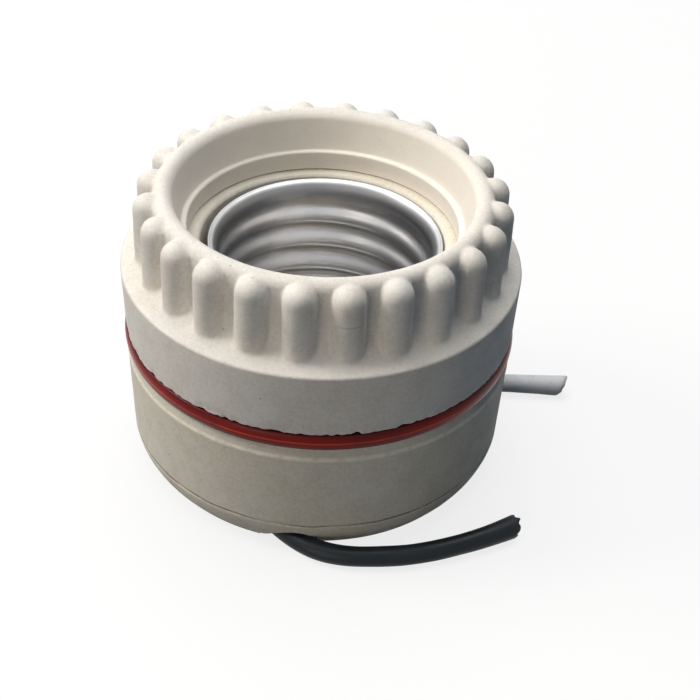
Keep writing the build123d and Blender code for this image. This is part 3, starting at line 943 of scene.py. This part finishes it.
def firedBody(points):
    # slightly out of true outside, with a broken crease and a rough border of the lip
    height = points[..., 2]
    radius = np.hypot(points[..., 0], points[..., 1])
    outside = (radius > holder["outerFromR"]) & (height < holder["shoulderZ"] + 0.1)
    shift = firedShift(points, holder["uneven"], holder["sunk"])
    whole, crumble = holder["crumble"]
    broken = np.clip(whole + crumble * smoothNoise(points * (1, 1, 0.1), *holder["crumbleNoise"]), 0.1, 1)
    wander = holder["wander"] * smoothNoise(points * (1, 1, 0), *holder["wanderNoise"])
    away = np.abs(height + wander - holder["creaseZ"])
    shift -= holder["creaseDepth"] * broken * np.clip(1 - away / holder["creaseWidth"], 0, 1)
    border = np.clip(1 - np.abs(height - lipZ) / holder["lipBorder"], 0, 1)
    roughness = holder["borderDepth"] * smoothNoise(points, *holder["borderNoise"])
    shift += border * (roughness + holder["borderRise"])
    # less of it towards the table
    below, fade = holder["tableFade"]
    shift *= outside * np.clip((height + below) / fade, 0, 1)
    points = points + outwardNormals(points, False) * shift[..., None]
    points[..., 2] = np.clip(points[..., 2], 0, holder["neckTopZ"])
    return points


def makeBody():
    angles = np.linspace(0, 2 * math.pi, holder["columns"], endpoint=False)
    points = firedBody(ringPoints(neckRows(angles) + wallRows() + footRows(), angles))
    piece = gridMesh("holderBody", points, closed=False)
    black, white = leads["black"]["route"][5:7], leads["white"]["route"][2:4]
    cutAway(piece, [archCutter("blackGroove", *black), archCutter("whiteGroove", *white)])
    return piece


def creaseShade(shade, colour):
    # painted shade: a dark line along the crease over the foot, broken here and there
    wander = shade.math("MULTIPLY_ADD", shade.noise(5.0, detail=3, offset=21), 0.5, -0.25)
    height = shade.math("ADD", shade.axis("Z"), wander)
    away = shade.math("ABSOLUTE", shade.math("SUBTRACT", height, holder["creaseZ"]))
    broken = shade.ramp(shade.noise(3.5, detail=3, offset=31), 0.28, 0.46, 0.15, 0.9)
    creaseDark = shade.math("MULTIPLY", shade.ramp(away, 0.04, 0.17, 1, 0), broken)
    return shade.mix(creaseDark, colour, holder["creaseShadeColour"])


def lipHighlight(shade, colour):
    # painted highlight: a paler rough line along the lip's border, where the edge catches the light
    away = shade.math("ABSOLUTE", shade.math("SUBTRACT", shade.axis("Z"), lipZ))
    rough = shade.ramp(shade.noise(0.8, detail=3, offset=41), 0.30, 0.55, 0.35, 1)
    paler = shade.math("MULTIPLY", shade.ramp(away, 0.10, 0.48, 1, 0), rough)
    return shade.mix(paler, colour, tinted(holder["warm"], 1.34))


bodyPorcelain = porcelainMaterial("bodyPorcelain", holder["warm"], holder["cool"], creaseShade, lipHighlight)
holderBody = dress(makeBody(), "holder", "porcelain", bodyPorcelain, "body")
print("body made", len(holderBody.data.vertices))


# Gasket
gasket = {
    "lowZ": gasketLow.z,
    "highZ": gasketHigh.z,
    "outerR": gasketHigh.x,
    "innerR": 17.9,
    "bulge": 0.5,
    "bulgeInset": 0.04,
    "flatInset": 0.05,
    "fullness": 0.9,
    "columns": 480,
    "uneven": ((0.035, 7.0, 33), (0.012, 1.6, 34)),
    "sunk": 0.03,
}


def makeGasket():
    angles = np.linspace(0, 2 * math.pi, gasket["columns"], endpoint=False)
    low, high, innerR = gasket["lowZ"], gasket["highZ"], gasket["innerR"]
    edgeR = gasket["outerR"] - gasket["bulge"]
    flatR = edgeR - gasket["flatInset"]
    rows = line((innerR, high), (flatR, high), 6)
    for a in np.linspace(90, -90, 19):
        t = math.radians(a)
        out = (gasket["bulge"] - gasket["bulgeInset"]) * math.cos(t) ** gasket["fullness"]
        rows.append((edgeR + out, (low + high) / 2 + (high - low) / 2 * math.sin(t)))
    rows += line((flatR, low), (innerR, low), 6)
    rows += line((innerR, low), (innerR, high), 3)
    points = ringPoints(rows, angles)
    wave = firedShift(points, gasket["uneven"], gasket["sunk"])
    radius = np.hypot(points[..., 0], points[..., 1])
    outward = points * (1, 1, 0) / radius[..., None]
    points += outward * (wave * (radius > edgeR + 0.02))[..., None]
    return gridMesh("sealGasket", points)


def gasketMaterial():
    shade = Shade("redRubber", Roughness=0.32, Specular_IOR_Level=0.14)
    cloud = shade.noise(6.0, detail=3, offset=4)
    fine = shade.noise(0.6, detail=3, offset=8)
    colour = shade.mix(shade.ramp(cloud, 0.35, 0.68), (0.19, 0.006, 0.004), (0.26, 0.010, 0.006))
    colour = shade.mix(shade.ramp(fine, 0.62, 0.75, 0, 0.35), colour, (0.12, 0.008, 0.007))
    # painted shade above and below the middle of the edge, and a painted highlight line round its middle
    middle = (gasket["lowZ"] + gasket["highZ"]) / 2 + 0.05
    away = shade.math("ABSOLUTE", shade.math("SUBTRACT", shade.axis("Z"), middle))
    colour = shade.mix(shade.ramp(away, 0.35, 0.95, 0, 0.65), colour, (0.07, 0.004, 0.004))
    wearAndHighlight = shade.math("MULTIPLY", shade.ramp(away, 0.03, 0.20, 1, 0), shade.ramp(cloud, 0.3, 0.6, 0.4, 0.9))
    colour = shade.mix(wearAndHighlight, colour, (0.72, 0.075, 0.03))
    shade.colour(colour)
    shade.roughness(shade.ramp(cloud, 0.3, 0.7, 0.26, 0.38))
    shade.bump((cloud, 0.04), (fine, 0.01))
    return shade.material


dress(makeGasket(), "seal", "gasket", gasketMaterial(), "gasket")
print("gasket made")


# Screw shell
shell = {
    "x": 0.35,
    "bottomZ": shellLow.z,
    "topZ": shellHigh.z,
    "wall": 0.4,
    "meanR": 12.9,
    "swing": 0.4,
    "pitch": 3.629,
    "plain": 1.6,
    "flareR": 14.2,
    "flareHeight": 1.9,
    "holeR": 8.2,
    "insideRound": 0.5,
    "outsideRound": 0.6,
    "rimRound": 0.17,
    "rimInset": 0.02,
    "flareDrop": 0.1,
    "columns": 240,
    "rowStep": 0.24,
}


def flareR(height, start, end):
    # an arc that leaves the wall upright and turns outwards to the rim
    rise, spread = shell["topZ"] - start, end[1] - end[0]
    bow = (rise ** 2 + spread ** 2) / (2 * spread)
    up = np.clip(height - start, 0, rise)
    return end[0] + bow - math.sqrt(max(bow ** 2 - up ** 2, 0))


def makeShell():
    angles = np.linspace(0, 2 * math.pi, shell["columns"], endpoint=False)
    low, top, wall, holeR = shell["bottomZ"], shell["topZ"], shell["wall"], shell["holeR"]
    flangeZ = low + wall
    plainZ = flangeZ + shell["plain"]
    flareZ = top - shell["flareHeight"]
    runOut = shell["pitch"] / 2
    heights = np.arange(plainZ, flareZ, shell["rowStep"])
    flares = np.linspace(flareZ, top - shell["flareDrop"], 9)

    def threaded(meanR, levels):
        rows = []
        for height in levels:
            swing = shell["swing"] * min(1.0, (height - plainZ) / runOut, (flareZ - height) / runOut)
            rows.append((threadRadius(angles, height, meanR, max(swing, 0.0), shell["pitch"]), height))
        return rows

    inside, outside = shell["meanR"], shell["meanR"] + wall
    innerRound, outerRound, rimRound = shell["insideRound"], shell["outsideRound"], shell["rimRound"]
    rows = line((holeR, flangeZ), (inside - innerRound, flangeZ), 4)
    rows += arc((inside - innerRound, flangeZ + innerRound), innerRound, -90, 0, 6)
    rows += line((inside, flangeZ + innerRound), (inside, plainZ), 3)
    rows += threaded(inside, heights)
    rows += [(flareR(z, flareZ, (inside, shell["flareR"] - wall)), z) for z in flares]
    rimMid = shell["flareR"] - wall / 2 - shell["rimInset"]
    rows += arc((rimMid, top - rimRound), rimRound, 160, 10, 6, last=True)
    rows += [(flareR(z, flareZ, (outside, shell["flareR"])), z) for z in flares[::-1]]
    rows += threaded(outside, heights[::-1])
    rows += line((outside, plainZ), (outside, low + outerRound), 3)
    rows += arc((outside - outerRound, low + outerRound), outerRound, 0, -90, 6)
    rows += line((outside - outerRound, low), (holeR, low), 4, last=True)
    return gridMesh("screwShell", ringPoints(rows, angles, axisX=shell["x"]))


def shellMaterial():
    shade = Shade("rolledAluminium", Metallic=1.0, Roughness=0.33)
    cloud = shade.noise(4.0, detail=3, offset=2)
    drawn = shade.noise(1.2, detail=2, rough=0.4, stretch=(0.2, 0.2, 1.6), offset=6)
    dull = shade.noise(1.6, detail=3, offset=12)
    colour = shade.mix(shade.ramp(cloud, 0.35, 0.68), (0.55, 0.555, 0.57), (0.48, 0.485, 0.50))
    colour = shade.mix(shade.ramp(dull, 0.58, 0.75, 0, 0.4), colour, (0.45, 0.45, 0.46))
    # painted shade: the flare darker just under its bright edge
    height, topZ = shade.axis("Z"), shell["topZ"]
    underEdge = shade.ramp(height, topZ - 0.55, topZ - 0.15, 0.75, 0)
    flareShade = shade.math("MULTIPLY", shade.ramp(height, topZ - 3.2, topZ - 1.4), underEdge)
    shade.colour(shade.mix(flareShade, colour, (0.16, 0.165, 0.175)))
    flare = shade.ramp(height, topZ - shell["flareHeight"], topZ - 0.3, 0, 0.2)
    shade.roughness(shade.math("ADD", shade.ramp(drawn, 0.3, 0.7, 0.29, 0.33), flare))
    shade.bump((drawn, 0.001))
    return shade.material


screwShell = dress(makeShell(), "holder", "shell", shellMaterial(), "screw_shell")
print("shell made", len(screwShell.data.vertices))


# Contact, rivets, lugs, wires and compound keep their own shapes and get their finishes here
def brassMaterial(name, colour, dull, roughness):
    shade = Shade(name, Metallic=1.0, Roughness=roughness)
    cloud = shade.noise(2.0, detail=4, offset=3)
    fine = shade.noise(0.3, detail=3, stretch=(1, 0.25, 1), offset=7)
    shade.colour(shade.mix(shade.ramp(cloud, 0.38, 0.70), colour, dull))
    shade.roughness(shade.ramp(cloud, 0.3, 0.7, roughness - 0.06, roughness + 0.16))
    shade.bump((fine, 0.012), (cloud, 0.02))
    return shade.material


def compoundMaterial():
    shade = Shade("pouredCompound", Roughness=0.6, Specular_IOR_Level=0.4)
    cloud = shade.noise(5.0, detail=3, offset=3)
    pits = shade.noise(0.7, detail=3, offset=5)
    colour = shade.mix(shade.ramp(cloud, 0.35, 0.7), (0.035, 0.028, 0.024), (0.06, 0.05, 0.042))
    shade.colour(shade.mix(shade.ramp(pits, 0.6, 0.72, 0, 0.5), colour, (0.11, 0.095, 0.08)))
    shade.roughness(shade.ramp(cloud, 0.3, 0.7, 0.48, 0.72))
    shade.bump((cloud, 0.5), (pits, 0.08))
    return shade.material


finishes = {
    brassMaterial("springBrass", (0.78, 0.60, 0.30), (0.50, 0.36, 0.17), 0.30): ["centre_contact"],
    brassMaterial("rivetBrass", (0.74, 0.56, 0.28), (0.44, 0.31, 0.15), 0.36): [
        "contact_rivet", "shell_rivet_neutral", "shell_rivet_plain", "rivet_washer",
    ],
    brassMaterial("tinnedBrass", (0.70, 0.68, 0.62), (0.48, 0.45, 0.38), 0.34): ["line_lug", "neutral_lug"],
    copper: ["line_wire", "neutral_wire"],
    compoundMaterial(): ["sealing_compound"],
}
for material, names in finishes.items():
    for name in names:
        nodes[name].data.materials.clear()
        nodes[name].data.materials.append(material)
print("carried-over nodes dressed")


# Floor, lights and world
studio = {
    "floorHalf": 1500.0,
    "floorSeen": (0.95, 0.95, 0.95),
    "floorWhite": 0.8,
    "grainCell": 40.0,
    "floorBounce": (0.05, 0.065, 0.09),
    "worldColour": (0.32, 0.64, 1.0),
    "worldStrength": 0.07,
    "lamps": {
        "key": {"place": (-430.0, 40.0, 380.0), "size": 0.26, "power": 1.85, "colour": (1.0, 0.96, 0.90)},
        "top": {"place": (-30.0, 130.0, 545.0), "size": 0.50, "power": 2.5, "colour": (1.0, 0.98, 0.95)},
        "fill": {"place": (-300.0, -480.0, 160.0), "size": 0.40, "power": 0.72, "colour": (1.0, 0.89, 0.74)},
    },
    "aim": (0.0, 0.0, 20.0),
}


def seenRays(tree):
    # 1 for the rays that the camera, metal and glass see by, 0 for the light that bounces
    path = tree.nodes.new("ShaderNodeLightPath")
    seen = path.outputs["Is Camera Ray"]
    for ray in ("Is Glossy Ray", "Is Transmission Ray"):
        either = tree.nodes.new("ShaderNodeMath")
        either.operation = "MAXIMUM"
        tree.links.new(seen, either.inputs[0])
        tree.links.new(path.outputs[ray], either.inputs[1])
        seen = either.outputs["Value"]
    return seen


def blendInto(tree, share, first, second, output):
    blend = tree.nodes.new("ShaderNodeMixShader")
    tree.links.new(share, blend.inputs["Fac"])
    tree.links.new(first, blend.inputs[1])
    tree.links.new(second, blend.inputs[2])
    tree.links.new(blend.outputs["Shader"], tree.nodes[output].inputs["Surface"])


def makeFloor():
    # nearly white where it is seen, with its own shadows left in it
    half = studio["floorHalf"] * mm
    corners = [(-half, -half, 0), (half, -half, 0), (half, half, 0), (-half, half, 0)]
    mesh = bpy.data.meshes.new("floor")
    mesh.from_pydata(corners, [], [(0, 1, 2, 3)])
    floor = bpy.data.objects.new("floor", mesh)
    bpy.context.scene.collection.objects.link(floor)
    shade = Shade("floorPaper", Roughness=0.9)
    grain = shade.noise(studio["grainCell"], detail=2)
    tone = studio["floorSeen"]
    paper = shade.mix(shade.ramp(grain, 0.3, 0.7), tone, tinted(tone, 0.99))
    seen = seenRays(shade.tree)
    shade.colour(shade.mix(seen, studio["floorBounce"], paper))
    white = shade.node("ShaderNodeEmission")
    white.inputs["Color"].default_value = (1, 1, 1, 1)
    share = shade.math("MULTIPLY", seen, studio["floorWhite"])
    blendInto(shade.tree, share, shade.surface.outputs["BSDF"], white.outputs["Emission"], "Material Output")
    mesh.materials.append(shade.material)


def areaLamp(name, place, size, power, colour):
    data = bpy.data.lights.new(name, "AREA")
    data.shape = "DISK"
    data.size = size
    data.energy = power
    data.color = colour
    lamp = bpy.data.objects.new(name, data)
    start = Vector(place) * mm
    lamp.location = start
    lamp.rotation_euler = (Vector(studio["aim"]) * mm - start).to_track_quat("-Z", "Y").to_euler()
    bpy.context.scene.collection.objects.link(lamp)


def makeWorld():
    # white where it is seen, and a faint sky for the shadows
    world = bpy.data.worlds.new("studio")
    bpy.context.scene.world = world
    world.use_nodes = True
    tree = world.node_tree
    sky = tree.nodes["Background"]
    sky.inputs["Color"].default_value = (*studio["worldColour"], 1)
    sky.inputs["Strength"].default_value = studio["worldStrength"]
    white = tree.nodes.new("ShaderNodeBackground")
    white.inputs["Color"].default_value = (1, 1, 1, 1)
    white.inputs["Strength"].default_value = 1.0
    blendInto(tree, seenRays(tree), sky.outputs["Background"], white.outputs["Background"], "World Output")


makeFloor()
makeWorld()
for name, lamp in studio["lamps"].items():
    areaLamp(name, **lamp)
bpy.context.scene.view_settings.view_transform = "Standard"
print("studio lit")
